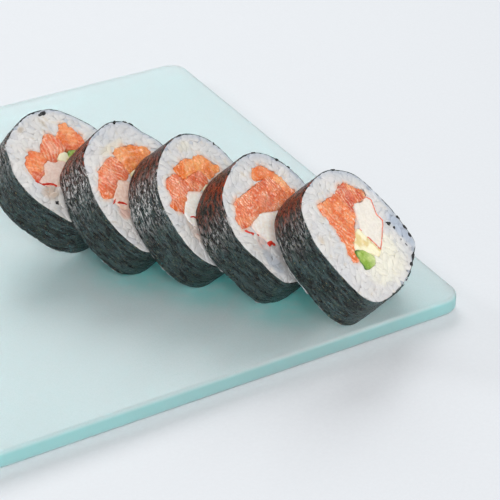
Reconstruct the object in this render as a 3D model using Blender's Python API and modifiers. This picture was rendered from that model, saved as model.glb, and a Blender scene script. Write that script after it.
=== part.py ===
"""Maki sushi roll: five slices of one thick roll leaning in a row on a frosted glass plate.

Frame: +X along the plate's length, +Y across it, +Z up. The origin is the middle of the
plate's underside. Each slice has an empty at the middle of its upward cut face: local +X
runs level across the face, local +Y up the face, and local +Z out of it, so a slice
reaches from z = 0 down to minus its thickness.
"""

import math
from collections import namedtuple

import bmesh
import bpy
from mathutils import Euler, Vector

MM = 0.001

# Serving plate, a slab of frosted glass with ground corners and edges.
PLATE_LENGTH = 200.0
PLATE_WIDTH = 200.0
PLATE_THICKNESS = 6.0
PLATE_CORNER_RADIUS = 7.0
PLATE_EDGE_BEVEL = 1.4

# Roll.
NORI_THICKNESS = 0.45
GAP = 0.3  # clearance between pieces that touch
SAG = 0.9  # how far a slice's lower edge is pressed flat on the plate
FOOT_SPREAD = 0.7  # how far that edge bulges beside the flat
FOOT_ANGLE = -120.0
FOOT_WIDTH = 20.0
WEDGE_ANGLE = -120.0  # side of the face where a slice is cut thickest
LAP_ANGLE = 20.0  # overlap of the seaweed's two ends
RAMP_ANGLE = 16.0  # stretch over which the inner end steps down under the outer one
RIM_POINTS = 60
STRIP_POINTS = 26
CORNER_POINTS = 3
CORNER_ROUNDING = 0.9

# at: middle of the upward face over the plate; facing and lean: azimuth and elevation of
# that face's normal; wide, high, turn: axes of the oval section; square: how squared the
# section is; seam: angle where the seaweed's inner end dips into the rice; tail: how many
# degrees it runs on from there; dip: how deep its tip lies; wind: +1 or -1, its direction.
Slice = namedtuple(
    "Slice", "at facing lean wide high turn square thick wedge seam tail dip wind ripple"
)
SLICES = {
    1: Slice((4.5, -1.2), -59.5, 54.0, 46.2, 48.8, 15.0, 0.2, 14.4, 1.4, 262.0, 34.0, 4.2, -1, 0.20),
    2: Slice((18.8, -23.9), -61.0, 48.3, 49.6, 39.6, 60.0, 0.2, 15.4, 0.0, 256.0, 32.0, 4.4, -1, 0.25),
    3: Slice((34.4, -43.6), -59.7, 43.5, 49.2, 40.8, 59.0, 0.2, 15.5, 0.0, 250.0, 30.0, 4.0, -1, 0.22),
    4: Slice((49.2, -63.2), -61.0, 46.7, 47.2, 42.0, 62.0, 0.2, 14.6, 0.2, 243.0, 36.0, 6.2, -1, 0.20),
    5: Slice((67.1, -84.2), -56.2, 47.3, 46.4, 46.6, 14.0, 0.9, 14.2, 1.3, -60.0, 39.0, 6.0, 1, 0.15),
}

# Where a section swells out of its oval or is pressed flat (negative): angle round the
# face, height in millimetres, spread in degrees.
BULGES = {
    1: ((52, 0.9, 14), (18, 0.4, 14), (100, -1.2, 20), (142, -0.9, 8), (-156, -0.9, 16)),
    2: ((14, 1.0, 10), (37, -1.0, 10), (84, -0.9, 14), (123, 1.2, 12), (158, 0.3, 20), (-134, 0.9, 10)),
    3: ((20, -0.3, 14), (72, -1.0, 36), (158, 0.7, 34)),
    4: ((35, -0.4, 20), (80, -0.4, 24), (132, 0.8, 14), (168, 0.7, 10), (-158, -1.2, 12), (-133, 0.9, 8)),
    5: ((-40, 1.9, 10), (-137, 1.8, 18), (15, -1.1, 30), (52, -0.9, 16), (144, -0.8, 12)),
}

# Fillings in the plane of the cut face, in millimetres. A strip of fish or cheese is a
# short row of (x, y, half width) along its middle. A cut piece is its few corners, which
# are rounded. Each filling is cut to fit round those listed before it.
FILLINGS = {
    1: (
        ("salmon_1a", "corners", ((-15.6, 2.8), (-14.0, 9.6), (-11.8, 11.8), (-7.4, 12.7), (-5.0, 9.6), (-5.4, 6.6), (-7.6, 6.6), (-10.6, 3.6))),
        ("salmon_1b", "corners", ((-4.8, 9.8), (-3.4, 11.6), (2.4, 14.4), (4.8, 13.4), (6.2, 9.6), (5.6, 6.4), (3.4, 5.7), (0.2, 6.1), (-2.8, 4.2), (-4.6, 5.8))),
        ("salmon_1c", "corners", ((5.6, 11.8), (8.6, 12.4), (11.0, 14.2), (13.6, 13.6), (14.6, 8.4), (13.8, 3.4), (8.6, 3.6), (5.4, 5.8))),
        ("surimi_1", "corners", ((-15.2, 2.6), (-7.2, 7.0), (-4.6, 6.2), (0.8, 2.4), (-1.5, -4.5), (-8.0, -5.0), (-10.8, -1.6), (-15.2, 0.4))),
        ("cucumber_1", "corners", ((3.6, 4.2), (5.4, 4.9), (9.8, 3.2), (9.6, 0.2), (7.0, -2.6), (3.6, -1.6))),
        ("cream_cheese_1", "corners", ((-1.4, 4.6), (0.6, 6.0), (3.8, 5.2), (3.4, -1.6), (-0.4, -1.6))),
    ),
    2: (
        ("salmon_2a", "corners", ((-16.3, 3.6), (-14.2, 7.6), (-9.2, 11.8), (-3.0, 13.0), (0.8, 11.8), (0.8, 5.6), (-3.2, 3.4), (-5.0, 5.8), (-8.6, 3.6), (-12.6, 2.2))),
        ("salmon_2b", "corners", ((-2.6, 13.2), (4.0, 13.9), (9.4, 12.4), (15.2, 7.6), (13.6, 5.4), (0.2, 4.8), (-1.4, 9.6))),
        ("surimi_2", "corners", ((-12.8, 0.8), (-11.0, 2.6), (-8.0, 3.4), (-4.8, 5.8), (-2.6, 3.2), (-0.5, -4.5), (-8.5, -6.0), (-13.0, -2.8))),
        ("cucumber_2", "corners", ((6.2, 4.4), (10.8, 3.8), (12.0, -0.4), (9.0, -2.6), (5.8, -0.6))),
        ("cream_cheese_2", "strip", ((2.6, 3.4, 2.0), (3.4, 0.2, 2.2), (2.6, -3.4, 2.0))),
    ),
    3: (
        ("salmon_3a", "corners", ((-16.6, 5.2), (-13.0, 8.2), (-11.2, 13.5), (-5.0, 13.2), (-4.2, 9.8), (5.6, 8.6), (6.0, 4.2), (-0.6, 3.6), (-5.6, 6.2), (-13.4, 1.6))),
        ("salmon_3b", "corners", ((-5.2, 14.7), (3.2, 14.8), (5.2, 13.0), (9.4, 13.5), (15.0, 4.4), (5.2, 4.6), (-5.0, 9.2))),
        ("surimi_3", "corners", ((-12.6, 2.4), (-5.4, 6.0), (-0.4, 3.4), (-1.8, -6.4), (-10.5, -7.2), (-13.6, -3.0))),
        ("cucumber_3", "corners", ((6.4, 3.2), (11.4, 2.6), (12.4, -1.6), (9.2, -3.6), (6.0, -1.2))),
        ("cream_cheese_3", "strip", ((2.8, 1.6, 2.2), (2.8, -1.4, 2.4), (1.6, -5.0, 2.2))),
    ),
    4: (
        ("salmon_4a", "corners", ((-16.8, 4.4), (-15.6, 7.8), (-11.0, 12.6), (3.2, 12.3), (9.3, 11.2), (10.8, 6.0), (9.8, 1.4), (2.4, 1.6), (-5.0, 4.6), (-14.2, 3.2))),
        ("salmon_4b", "corners", ((1.8, 13.8), (5.2, 17.4), (9.6, 16.0), (13.0, 10.6), (14.6, 3.0), (13.6, -1.4), (10.8, -1.0), (8.6, 11.6))),
        ("surimi_4", "corners", ((-12.6, 2.8), (-5.0, 5.0), (3.0, 1.2), (1.0, -6.5), (-8.6, -7.2), (-11.4, -2.8))),
        ("cucumber_4", "corners", ((7.0, -1.8), (12.4, -2.8), (12.8, -6.2), (10.0, -7.8), (6.6, -5.2))),
        ("cream_cheese_4", "strip", ((5.6, -0.4, 2.0), (4.8, -3.2, 2.4), (3.6, -6.4, 2.2))),
    ),
    5: (
        ("salmon_5a", "corners", ((-7.6, 15.6), (4.9, 13.4), (4.4, 9.2), (6.8, 6.2), (-3.6, -0.4), (-8.6, -2.8), (-10.2, -6.8), (-12.2, -4.6), (-8.8, 3.0))),
        ("salmon_5b", "corners", ((4.0, 13.4), (8.0, 15.0), (12.6, 13.5), (14.6, 9.6), (18.2, 6.2), (11.8, 5.5), (8.6, 7.2), (5.0, 6.6))),
        ("surimi_5", "corners", ((1.4, 0.0), (8.6, 7.4), (15.2, 5.8), (16.6, 3.6), (13.2, -0.8), (13.8, -4.0), (2.6, -9.4))),
        ("cucumber_5", "corners", ((-9.9, -4.2), (-7.4, -3.2), (-4.6, -4.9), (-2.2, -9.2), (-4.2, -11.0), (-9.8, -10.2))),
        ("cream_cheese_5", "corners", ((-8.2, -3.2), (-3.0, 0.4), (1.6, 0.9), (2.8, -9.2), (-0.4, -10.5), (-4.6, -5.0))),
    ),
}

# colour, roughness, transmission
LOOKS = {
    "frosted_glass": ((0.74, 0.87, 0.87), 0.55, 0.6),
    "nori": ((0.025, 0.035, 0.03), 0.45, 0.0),
    "rice": ((0.80, 0.80, 0.78), 0.4, 0.0),
    "salmon": ((0.82, 0.27, 0.12), 0.35, 0.0),
    "surimi": ((0.84, 0.79, 0.74), 0.4, 0.0),
    "cream_cheese": ((0.88, 0.85, 0.68), 0.45, 0.0),
    "cucumber": ((0.42, 0.58, 0.16), 0.3, 0.0),
}


def clear_scene():
    for obj in list(bpy.data.objects):
        bpy.data.objects.remove(obj, do_unlink=True)


def collection(name):
    made = bpy.data.collections.new(name)
    bpy.context.scene.collection.children.link(made)
    return made


def material(kind):
    found = bpy.data.materials.get(kind)
    if found:
        return found
    colour, roughness, transmission = LOOKS[kind]
    made = bpy.data.materials.new(kind)
    made.use_nodes = True
    shader = made.node_tree.nodes["Principled BSDF"]
    shader.inputs["Base Color"].default_value = (*colour, 1.0)
    shader.inputs["Roughness"].default_value = roughness
    shader.inputs["Metallic"].default_value = 0.0
    shader.inputs["Transmission Weight"].default_value = transmission
    return made


def put(name, mesh, where, parent=None, kind=None):
    obj = bpy.data.objects.new(name, mesh)
    where.objects.link(obj)
    obj.parent = parent
    if kind:
        mesh.materials.clear()
        mesh.materials.append(material(kind))
        mesh.shade_smooth()
        mesh.set_sharp_from_angle(angle=math.radians(35))
    else:
        obj.hide_render = True
        obj.display_type = "WIRE"
    return obj


def mesh_of(name, bm):
    bmesh.ops.recalc_face_normals(bm, faces=bm.faces)
    mesh = bpy.data.meshes.new(name)
    bm.to_mesh(mesh)
    bm.free()
    return mesh


def loft(name, rings, strip=False):
    """Closed body through rings of points. With strip, a ring runs along one side of a
    thin band and back along the other, so its ends are capped by quads across the band."""
    bm = bmesh.new()
    rows = [[bm.verts.new(Vector(p) * MM) for p in ring] for ring in rings]
    count = len(rows[0])
    for near, far in zip(rows, rows[1:]):
        for i in range(count):
            j = (i + 1) % count
            bm.faces.new((near[i], near[j], far[j], far[i]))
    for row in (rows[0], rows[-1]):
        if strip:
            for i in range(count // 2 - 1):
                bm.faces.new((row[i], row[i + 1], row[count - 2 - i], row[count - 1 - i]))
        else:
            bm.faces.new(row)
    return mesh_of(name, bm)


def swell(angle, middle, spread):
    """A soft bump of height 1 round the middle angle, in degrees."""
    off = (math.degrees(angle) - middle + 180) % 360 - 180
    return math.exp(-((off / spread) ** 2))


class Cut:
    """Shape of one slice: points of its section and where it lies on the plate."""

    def __init__(self, number):
        self.size = size = SLICES[number]
        self.bulges = BULGES[number]
        self.lean = math.radians(size.lean)
        lowest = min(
            self.rise(self.flat_point(math.radians(a), 0.0, 1.0)) for a in range(0, 360, 2)
        )
        self.height = PLATE_THICKNESS + GAP - SAG - lowest

    def rise(self, point):
        """Height of a local point over the face's middle."""
        return point[1] * math.cos(self.lean) + point[2] * math.sin(self.lean)

    def radius(self, angle, back):
        """Outside of the seaweed at this angle, on the front or the back face."""
        size = self.size
        a, b = size.wide / 2, size.high / 2
        turned = angle - math.radians(size.turn)
        oval = a * b / math.hypot(b * math.cos(turned), a * math.sin(turned))
        uneven = size.ripple * (
            math.sin(3 * angle + size.turn) + 0.6 * math.sin(5 * angle - 2 * size.turn)
        )
        foot = FOOT_SPREAD * back * swell(angle, FOOT_ANGLE, FOOT_WIDTH)
        for middle, height, spread in self.bulges:
            uneven += height * swell(angle, middle, spread)
        return oval - size.square * math.cos(4 * angle) + uneven + foot

    def depth(self, x, y):
        """Thickness of the slice here: its back is a flat cut, not quite parallel."""
        side = math.radians(WEDGE_ANGLE)
        along = x * math.cos(side) + y * math.sin(side)
        return self.size.thick + self.size.wedge * along / (self.size.wide / 2)

    def flat_point(self, angle, inset, back):
        r = self.radius(angle, back) - inset
        x, y = r * math.cos(angle), r * math.sin(angle)
        return [x, y, -back * self.depth(x, y)]

    def point(self, angle, inset, back):
        """As flat_point, but pressed flat where it would go into the plate."""
        x, y, z = self.flat_point(angle, inset, back)
        floor = PLATE_THICKNESS + GAP + inset * math.cos(self.lean)
        low = floor - (self.height + self.rise((x, y, z)))
        if low > 0:
            y += low / math.cos(self.lean)
        return (x, y, z)

    def rim(self, inset):
        turns = [2 * math.pi * i / RIM_POINTS for i in range(RIM_POINTS)]
        return [[self.point(a, inset, back) for a in turns] for back in (0.0, 1.0)]

    def nori_inset(self, run):
        """Inset of the seaweed's middle line, run degrees along from its inner tip."""
        size = self.size
        step = NORI_THICKNESS + GAP
        inset = NORI_THICKNESS / 2
        if run < size.tail:
            t = 1 - run / size.tail
            inset += size.dip * t * t * (3 - 2 * t) * 0.5 + size.dip * t * 0.5
        under = size.tail + LAP_ANGLE
        if run < under:
            inset += step
        elif run < under + RAMP_ANGLE:
            t = (run - under) / RAMP_ANGLE
            inset += step * (1 - t * t * (3 - 2 * t))
        return inset

    def band(self, start, end, half, count, reach=0.0):
        """Rings of the seaweed from start to end degrees along it, half thick each way."""
        size = self.size
        runs = [start + (end - start) * i / count for i in range(count + 1)]
        rings = []
        for back in (0.0, 1.0):
            sides = []
            for side in (-half, half):
                row = []
                for run in runs:
                    angle = math.radians(size.seam + size.wind * (size.tail - run))
                    x, y, z = self.point(angle, self.nori_inset(run) + side, back)
                    row.append((x, y, z + (reach if back == 0.0 else -reach)))
                sides.append(row)
            rings.append(sides[0] + sides[1][::-1])
        return rings


def strip_outline(stations):
    """Outline of a soft strip: a smooth middle line with a half width at each station and
    round ends."""
    samples = 8
    ends = [stations[0]] + list(stations) + [stations[-1]]
    line = []
    for k in range(len(stations) - 1):
        p = [Vector(s) for s in ends[k : k + 4]]
        for i in range(samples):
            t = i / samples
            line.append(
                0.5
                * (
                    2 * p[1]
                    + (p[2] - p[0]) * t
                    + (2 * p[0] - 5 * p[1] + 4 * p[2] - p[3]) * t * t
                    + (3 * p[1] - p[0] - 3 * p[2] + p[3]) * t * t * t
                )
            )
    line.append(Vector(stations[-1]))
    left, right = [], []
    for i, here in enumerate(line):
        ahead = line[min(i + 1, len(line) - 1)] - line[max(i - 1, 0)]
        across = Vector((-ahead[1], ahead[0])).normalized()
        middle = Vector((here[0], here[1]))
        width = here[2] * (1 + 0.07 * math.sin(1.9 * i + 3 * here[0]))
        left.append(middle + across * width)
        right.append(middle - across * width)

    def cap(a, b):
        middle, arm = (a + b) / 2, (a - b) / 2
        out = Vector((arm[1], -arm[0]))
        turns = [math.pi * k / 6 for k in range(1, 6)]
        return [middle + arm * math.cos(t) - out * math.sin(t) for t in turns]

    loop = right + cap(right[-1], left[-1]) + left[::-1] + cap(left[0], right[0])
    return evenly(loop, STRIP_POINTS)


def corner_outline(corners):
    """Outline of a cut piece: its corners, each rounded outward or inward as it turns."""
    points = [Vector(c) for c in corners]
    area = sum(
        a[0] * b[1] - b[0] * a[1] for a, b in zip(points, points[1:] + points[:1])
    )
    if area < 0:
        points.reverse()
    loop = []
    count = len(points)
    for i, here in enumerate(points):
        edges = (here - points[i - 1], points[(i + 1) % count] - here)
        before, after = (e.normalized() for e in edges)
        side = 1 if before[0] * after[1] - before[1] * after[0] > 0 else -1
        normals = [Vector((d[1], -d[0])) * side for d in (before, after)]
        half = before.angle(after) / 2
        rounding = min(
            CORNER_ROUNDING, 0.45 * min(e.length for e in edges) / math.tan(max(half, 0.01))
        )
        centre = here - (normals[0] + normals[1]).normalized() * rounding / math.cos(half)
        for k in range(CORNER_POINTS):
            t = k / (CORNER_POINTS - 1)
            way = (normals[0] * (1 - t) + normals[1] * t).normalized()
            loop.append(centre + way * rounding)
    return loop


def grown(loop, by):
    """The same closed outline moved outward."""
    out = []
    area = sum(a[0] * b[1] - b[0] * a[1] for a, b in zip(loop, loop[1:] + loop[:1]))
    side = 1 if area > 0 else -1
    for i, here in enumerate(loop):
        before = (here - loop[i - 1]).normalized()
        after = (loop[(i + 1) % len(loop)] - here).normalized()
        normal = Vector((before[1] + after[1], -before[0] - after[0])).normalized() * side
        square = max(0.5, normal.dot(Vector((before[1], -before[0])) * side))
        out.append(here + normal * by / square)
    return out


def evenly(loop, count):
    """The same closed outline with its points an equal way apart."""
    lengths = [(b - a).length for a, b in zip(loop, loop[1:] + loop[:1])]
    total = sum(lengths)
    out, i, done = [], 0, 0.0
    for k in range(count):
        want = total * k / count
        while done + lengths[i] < want:
            done += lengths[i]
            i += 1
        t = (want - done) / lengths[i] if lengths[i] else 0.0
        out.append(loop[i].lerp(loop[(i + 1) % len(loop)], t))
    return out


def prism(name, outline, front, back):
    """Mesh of a flat outline extruded from z = back to z = front."""
    curve = bpy.data.curves.new(name, "CURVE")
    curve.dimensions = "2D"
    curve.fill_mode = "BOTH"
    curve.extrude = (front - back) / 2 * MM
    spline = curve.splines.new("POLY")
    spline.points.add(len(outline) - 1)
    for target, point in zip(spline.points, outline):
        target.co = (point[0] * MM, point[1] * MM, 0.0, 1.0)
    spline.use_cyclic_u = True
    holder = bpy.data.objects.new(name + "_outline", curve)
    bpy.context.scene.collection.objects.link(holder)
    bpy.context.view_layer.update()
    graph = bpy.context.evaluated_depsgraph_get()
    mesh = bpy.data.meshes.new_from_object(holder.evaluated_get(graph))
    bpy.data.objects.remove(holder, do_unlink=True)
    bpy.data.curves.remove(curve)
    bm = bmesh.new()
    bm.from_mesh(mesh)
    bpy.data.meshes.remove(mesh)
    bmesh.ops.remove_doubles(bm, verts=bm.verts, dist=1e-6)
    bmesh.ops.dissolve_limit(
        bm, angle_limit=0.001, verts=bm.verts, edges=bm.edges, use_dissolve_boundaries=False
    )
    bmesh.ops.translate(bm, vec=(0, 0, (front + back) / 2 * MM), verts=bm.verts)
    return mesh_of(name, bm)


def boolean(obj, operation, other):
    cut = obj.modifiers.new(operation.title() + "_" + other.name, "BOOLEAN")
    cut.operation = operation
    cut.solver = "EXACT"
    cut.object = other


def keep_largest(obj):
    """Applies the cuts and drops crumbs that they left loose between the fillings."""
    bpy.context.view_layer.update()
    graph = bpy.context.evaluated_depsgraph_get()
    cut = bpy.data.meshes.new_from_object(obj.evaluated_get(graph))
    bm = bmesh.new()
    bm.from_mesh(cut)
    bpy.data.meshes.remove(cut)
    bmesh.ops.remove_doubles(bm, verts=bm.verts, dist=2e-6)
    left, pieces = set(bm.verts), []
    while left:
        piece, reached = set(), [left.pop()]
        while reached:
            here = reached.pop()
            piece.add(here)
            for edge in here.link_edges:
                other = edge.other_vert(here)
                if other in left:
                    left.remove(other)
                    reached.append(other)
        pieces.append(piece)
    pieces.sort(key=len, reverse=True)
    crumbs = [v for piece in pieces[1:] for v in piece]
    bmesh.ops.delete(bm, geom=crumbs, context="VERTS")
    obj.modifiers.clear()
    bm.to_mesh(obj.data)
    bm.free()
    obj.data.shade_smooth()
    obj.data.set_sharp_from_angle(angle=math.radians(35))


def build_plate(where):
    bm = bmesh.new()
    bmesh.ops.create_cube(bm, size=1.0)
    bmesh.ops.scale(
        bm, vec=Vector((PLATE_LENGTH, PLATE_WIDTH, PLATE_THICKNESS)) * MM, verts=bm.verts
    )
    upright = [e for e in bm.edges if abs(e.verts[0].co.z - e.verts[1].co.z) > 0.001]
    bmesh.ops.bevel(
        bm,
        geom=upright,
        offset=PLATE_CORNER_RADIUS * MM,
        offset_type="OFFSET",
        segments=6,
        profile=0.5,
        affect="EDGES",
    )
    plate = put("plate", mesh_of("plate", bm), where, kind="frosted_glass")
    plate.location.z = PLATE_THICKNESS / 2 * MM
    edge = plate.modifiers.new("GroundEdge", "BEVEL")
    edge.width = PLATE_EDGE_BEVEL * MM
    edge.segments = 2
    edge.limit_method = "ANGLE"
    edge.angle_limit = math.radians(45)


def build_slice(number, where, tools):
    size = SLICES[number]
    cut = Cut(number)
    base = bpy.data.objects.new(f"slice_{number}", None)
    where.objects.link(base)
    base.empty_display_size = 0.02
    base.location = Vector((size.at[0], size.at[1], cut.height)) * MM
    base.rotation_euler = Euler(
        (math.pi / 2 - cut.lean, 0.0, math.radians(size.facing) + math.pi / 2)
    )

    whole = size.tail + 360.0 + LAP_ANGLE
    count = round(RIM_POINTS * whole / 360)
    rings = cut.band(0.0, whole, NORI_THICKNESS / 2, count)
    put(f"nori_{number}", loft(f"nori_{number}", rings, strip=True), where, base, "nori")

    inside = NORI_THICKNESS + GAP
    blank = put(
        f"rice_blank_{number}", loft(f"rice_blank_{number}", cut.rim(inside)), tools, base
    )
    rice = put(f"rice_{number}", blank.data.copy(), where, base, "rice")
    end = size.tail + LAP_ANGLE + RAMP_ANGLE
    slot = cut.band(-2.0, end, NORI_THICKNESS / 2 + GAP + 0.05, 20, reach=3.0)
    boolean(rice, "DIFFERENCE", put(f"tail_cut_{number}", loft("tail_cut", slot, True), tools, base))

    before = []
    for name, how, table in FILLINGS[number]:
        outline = strip_outline(table) if how == "strip" else corner_outline(table)
        piece = put(
            name,
            prism(name, outline, 3.0, -size.thick - 5.0),
            where,
            base,
            name.rsplit("_", 1)[0],
        )
        boolean(piece, "INTERSECT", blank)
        for other in before:
            boolean(piece, "DIFFERENCE", other)
        room = put(
            name + "_room",
            prism(name + "_room", grown(outline, GAP), 5.0, -size.thick - 8.0),
            tools,
            base,
        )
        boolean(rice, "DIFFERENCE", room)
        before.append(room)
        keep_largest(piece)
    keep_largest(rice)


def main():
    clear_scene()
    where = collection("maki_sushi_roll")
    tools = collection("cutters")
    build_plate(where)
    for number in SLICES:
        build_slice(number, where, tools)


main()
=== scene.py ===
import math
from collections import namedtuple

import bmesh
import bpy
import numpy as np
from mathutils import Euler, Matrix, Vector
from mathutils.geometry import delaunay_2d_cdt


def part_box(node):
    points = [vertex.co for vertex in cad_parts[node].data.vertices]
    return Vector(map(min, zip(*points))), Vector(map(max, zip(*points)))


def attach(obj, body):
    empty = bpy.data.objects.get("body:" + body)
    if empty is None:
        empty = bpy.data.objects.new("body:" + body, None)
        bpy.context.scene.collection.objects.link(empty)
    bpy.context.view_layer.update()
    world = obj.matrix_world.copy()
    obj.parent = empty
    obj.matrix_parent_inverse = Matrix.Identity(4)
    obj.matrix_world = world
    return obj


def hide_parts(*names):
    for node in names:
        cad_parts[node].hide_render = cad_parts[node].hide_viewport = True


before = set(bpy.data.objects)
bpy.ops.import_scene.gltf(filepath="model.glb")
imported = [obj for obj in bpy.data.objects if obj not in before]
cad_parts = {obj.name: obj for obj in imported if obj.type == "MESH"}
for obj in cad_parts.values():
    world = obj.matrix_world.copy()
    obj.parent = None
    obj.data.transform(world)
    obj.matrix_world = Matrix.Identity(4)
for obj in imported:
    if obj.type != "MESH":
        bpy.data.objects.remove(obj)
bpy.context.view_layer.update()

MM = 0.001

# The slices' pose and section, in millimetres and degrees, as the frame was built.
Slice = namedtuple(
    "Slice", "at facing lean wide high turn square thick wedge seam tail dip wind ripple"
)
SLICES = {
    1: Slice((4.5, -1.2), -59.5, 54.0, 46.2, 48.8, 15.0, 0.2, 14.4, 1.4, 262.0, 34.0, 4.2, -1, 0.20),
    2: Slice((18.8, -23.9), -61.0, 48.3, 49.6, 39.6, 60.0, 0.2, 15.4, 0.0, 256.0, 32.0, 4.4, -1, 0.25),
    3: Slice((34.4, -43.6), -59.7, 43.5, 49.2, 40.8, 59.0, 0.2, 15.5, 0.0, 250.0, 30.0, 4.0, -1, 0.22),
    4: Slice((49.2, -63.2), -61.0, 46.7, 47.2, 42.0, 62.0, 0.2, 14.6, 0.2, 243.0, 36.0, 6.2, -1, 0.20),
    5: Slice((67.1, -84.2), -56.2, 47.3, 46.4, 46.6, 14.0, 0.9, 14.2, 1.3, -60.0, 39.0, 6.0, 1, 0.15),
}
# Where a section swells or is pressed flat: angle, height, spread in degrees.
BULGES = {
    1: ((52, 0.9, 14), (18, 0.4, 14), (100, -1.2, 20), (142, -0.9, 8), (-156, -0.9, 16)),
    2: ((14, 1.0, 10), (37, -1.0, 10), (84, -0.9, 14), (123, 1.2, 12), (158, 0.3, 20), (-134, 0.9, 10)),
    3: ((20, -0.3, 14), (72, -1.0, 36), (158, 0.7, 34)),
    4: ((35, -0.4, 20), (80, -0.4, 24), (132, 0.8, 14), (168, 0.7, 10), (-158, -1.2, 12), (-133, 0.9, 8)),
    5: ((-40, 1.9, 10), (-137, 1.8, 18), (15, -1.1, 30), (52, -0.9, 16), (144, -0.8, 12)),
}
NORI = 0.45
GAP = 0.3
FOOT_SPREAD, FOOT_ANGLE, FOOT_WIDTH = 0.7, -120.0, 20.0
WEDGE_ANGLE = -120.0
LAP_ANGLE, RAMP_ANGLE = 20.0, 16.0
PLATE_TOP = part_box("plate")[1].z / MM


# ---------------------------------------------------------------- small helpers
def srgb(r, g, b):
    """Linear colour of an 8-bit sRGB one."""
    c = np.array([r, g, b], float) / 255
    return np.where(c <= 0.04045, c / 12.92, ((c + 0.055) / 1.055) ** 2.4)


def smooth(a, b, x):
    t = np.clip((x - a) / (b - a), 0, 1)
    return t * t * (3 - 2 * t)


def _lattice(i, seed):
    n = (i[..., 0] * 374761393 + i[..., 1] * 668265263 + i[..., 2] * 1442695041 + seed * 1274126177)
    n = n & 0xFFFFFFFF
    n = ((n ^ (n >> 13)) * 1274126177) & 0xFFFFFFFF
    return ((n ^ (n >> 16)) & 0xFFFF) / 32767.5 - 1.0


def vnoise(p, seed=0):
    """Smooth value noise of points (..., 3), from -1 to 1."""
    p = np.asarray(p, float)
    i = np.floor(p).astype(np.int64)
    f = p - i
    u = f * f * f * (f * (f * 6 - 15) + 10)
    out = 0.0
    for dx in (0, 1):
        for dy in (0, 1):
            for dz in (0, 1):
                w = (
                    (u[..., 0] if dx else 1 - u[..., 0])
                    * (u[..., 1] if dy else 1 - u[..., 1])
                    * (u[..., 2] if dz else 1 - u[..., 2])
                )
                out = out + w * _lattice(i + np.array([dx, dy, dz]), seed)
    return out


def fbm(x, y, z=0.0, octaves=3, seed=0, gain=0.5):
    p = np.stack(np.broadcast_arrays(x, y, z), -1).astype(float)
    out, amp, total = 0.0, 1.0, 0.0
    for k in range(octaves):
        out = out + amp * vnoise(p * 2.03**k + 17.3 * k, seed + 31 * k)
        total += amp
        amp *= gain
    return out / total


def lerp(a, b, t):
    return a + (b - a) * np.asarray(t)[..., None]


def swell(angle, middle, spread):
    """A soft bump of height 1 round the middle angle, in degrees."""
    off = (np.degrees(angle) - middle + 180) % 360 - 180
    return np.exp(-((off / spread) ** 2))


def flat_colour(colour, x):
    return np.broadcast_to(colour, np.shape(x) + (3,))


# ---------------------------------------------------------------- one slice's frame
class Cut:
    def __init__(self, number):
        self.number = number
        self.size = size = SLICES[number]
        self.lean = math.radians(size.lean)
        turn = Euler((math.pi / 2 - self.lean, 0.0, math.radians(size.facing) + math.pi / 2))
        self.turn = np.array(turn.to_matrix())
        normal = self.turn[:, 2]
        rice = self.world_points(f"rice_{number}")
        plane = (rice @ normal).max()
        x, y = size.at
        self.origin = np.array([x, y, (plane - normal[0] * x - normal[1] * y) / normal[2]])
        self.height = self.origin[2]

    @staticmethod
    def world_points(node):
        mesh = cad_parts[node].data
        co = np.empty(len(mesh.vertices) * 3, np.float32)
        mesh.vertices.foreach_get("co", co)
        return co.reshape(-1, 3).astype(float) / MM

    def local(self, points):
        return (points - self.origin) @ self.turn

    def world(self, points):
        return points @ self.turn.T + self.origin

    def radius(self, angle, back):
        size = self.size
        a, b = size.wide / 2, size.high / 2
        turned = angle - math.radians(size.turn)
        oval = a * b / np.hypot(b * np.cos(turned), a * np.sin(turned))
        uneven = size.ripple * (
            np.sin(3 * angle + size.turn) + 0.6 * np.sin(5 * angle - 2 * size.turn)
        )
        foot = FOOT_SPREAD * back * swell(angle, FOOT_ANGLE, FOOT_WIDTH)
        for middle, height, spread in BULGES[self.number]:
            uneven = uneven + height * swell(angle, middle, spread)
        return oval - size.square * np.cos(4 * angle) + uneven + foot

    def depth(self, x, y):
        side = math.radians(WEDGE_ANGLE)
        along = x * math.cos(side) + y * math.sin(side)
        return self.size.thick + self.size.wedge * along / (self.size.wide / 2)

    def press(self, points, inset):
        """Flattens points on the plate where they would go into it."""
        x, y, z = points[..., 0], points[..., 1], points[..., 2]
        floor = PLATE_TOP + GAP * 0.4 + inset * math.cos(self.lean)
        low = floor - (self.height + y * math.cos(self.lean) + z * math.sin(self.lean))
        out = points.copy()
        out[..., 1] = y + np.maximum(low, 0) / math.cos(self.lean)
        return out

    def inset(self, run):
        size = self.size
        run = np.asarray(run, float)
        step = NORI + GAP
        t = np.clip(1 - run / size.tail, 0, 1)
        out = NORI / 2 + size.dip * t * t * (3 - 2 * t) * 0.5 + size.dip * t * 0.5
        under = size.tail + LAP_ANGLE
        t = np.clip((run - under) / RAMP_ANGLE, 0, 1)
        return out + step * (1 - t * t * (3 - 2 * t))

    def angle(self, run):
        return np.radians(self.size.seam + self.size.wind * (self.size.tail - run))

    def rice_rim(self, angle, back=0.0):
        """Inner side of the seaweed at this angle."""
        return self.radius(angle, back) - NORI


CUTS = {n: Cut(n) for n in SLICES}


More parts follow.
